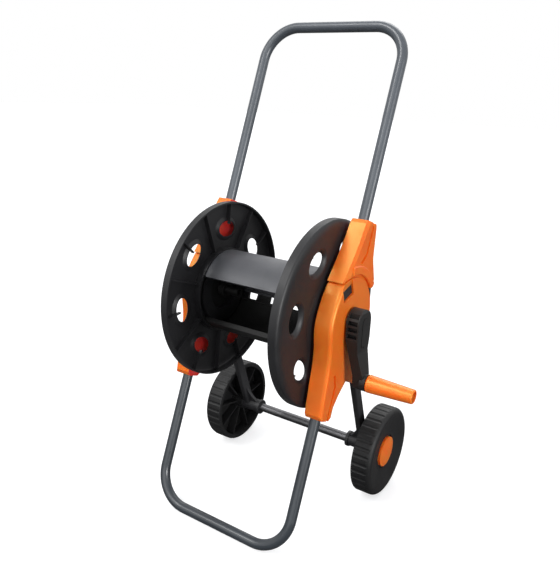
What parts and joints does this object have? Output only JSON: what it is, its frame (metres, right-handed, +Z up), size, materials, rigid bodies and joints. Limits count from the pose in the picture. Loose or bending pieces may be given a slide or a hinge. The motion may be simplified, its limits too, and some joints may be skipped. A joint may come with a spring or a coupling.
{
  "type": "hose reel cart",
  "caption": "Two-wheeled garden hose reel cart with a grey tube frame, orange side brackets, a dark open drum and a crank with a turning grip",
  "frame": {"origin": "On the floor under the middle of the whole length and width", "axes": "+Z up, the uprights' long way; +X across the cart to the crank side; +Y from the foot bar back to the wheels"},
  "size_m": [0.4666, 0.3806, 0.8543],
  "materials": {
    "frame_tube_paint": "satin grey paint on bent steel tube",
    "orange_plastic": "moulded orange plastic with a soft shine",
    "dark_plastic": "moulded dark grey plastic",
    "bearing_plastic": "moulded grey bearing plastic",
    "wheel_plastic": "moulded black plastic",
    "bare_steel": "dull drawn steel",
    "seal_rubber": "black rubber"
  },
  "bodies": {
    "cart": {"lower_frame_tube": "frame_tube_paint", "handle_tube": "frame_tube_paint", "right_side_bracket": "orange_plastic", "left_side_bracket": "orange_plastic", "right_handle_socket": "orange_plastic", "left_handle_socket": "orange_plastic", "right_lock_clip": "dark_plastic", "left_lock_clip": "dark_plastic", "right_leg": "dark_plastic", "left_leg": "dark_plastic", "axle_tube": "bare_steel", "axle_clips": "bare_steel", "axle_washers": "dark_plastic", "right_bearing_bush": "bearing_plastic", "left_bearing_bush": "bearing_plastic", "inlet_elbow": "dark_plastic"},
    "drum": {"right_flange": "dark_plastic", "left_flange": "dark_plastic", "upper_core_shell": "dark_plastic", "lower_core_shell": "dark_plastic", "crank_shaft": "bearing_plastic", "water_shaft": "bearing_plastic", "shaft_seal": "seal_rubber", "outlet_nipple": "dark_plastic", "crank_arm": "dark_plastic", "crank_cover": "dark_plastic", "crank_screw": "bare_steel", "grip_spindle": "bare_steel"},
    "grip": {"crank_grip": "orange_plastic"},
    "right_wheel_set": {"right_wheel": "wheel_plastic", "right_hub_cap": "orange_plastic"},
    "left_wheel_set": {"left_wheel": "wheel_plastic", "left_hub_cap": "orange_plastic"}
  },
  "joints": [
    {"name": "drum_spin", "type": "hinge", "parent": "cart", "child": "drum", "pos_m": [-0.0423, -0.0303, 0.38314], "axis": [1, 0, 0], "continuous": true},
    {"name": "grip_spin", "type": "hinge", "parent": "drum", "child": "grip", "pos_m": [0.19305, -0.0303, 0.28194], "axis": [1, 0, 0], "continuous": true},
    {"name": "right_wheel_spin", "type": "hinge", "parent": "cart", "child": "right_wheel_set", "pos_m": [0.1297, 0.1048, 0.0855], "axis": [1, 0, 0], "continuous": true},
    {"name": "left_wheel_spin", "type": "hinge", "parent": "cart", "child": "left_wheel_set", "pos_m": [-0.2143, 0.1048, 0.0855], "axis": [1, 0, 0], "continuous": true}
  ]
}
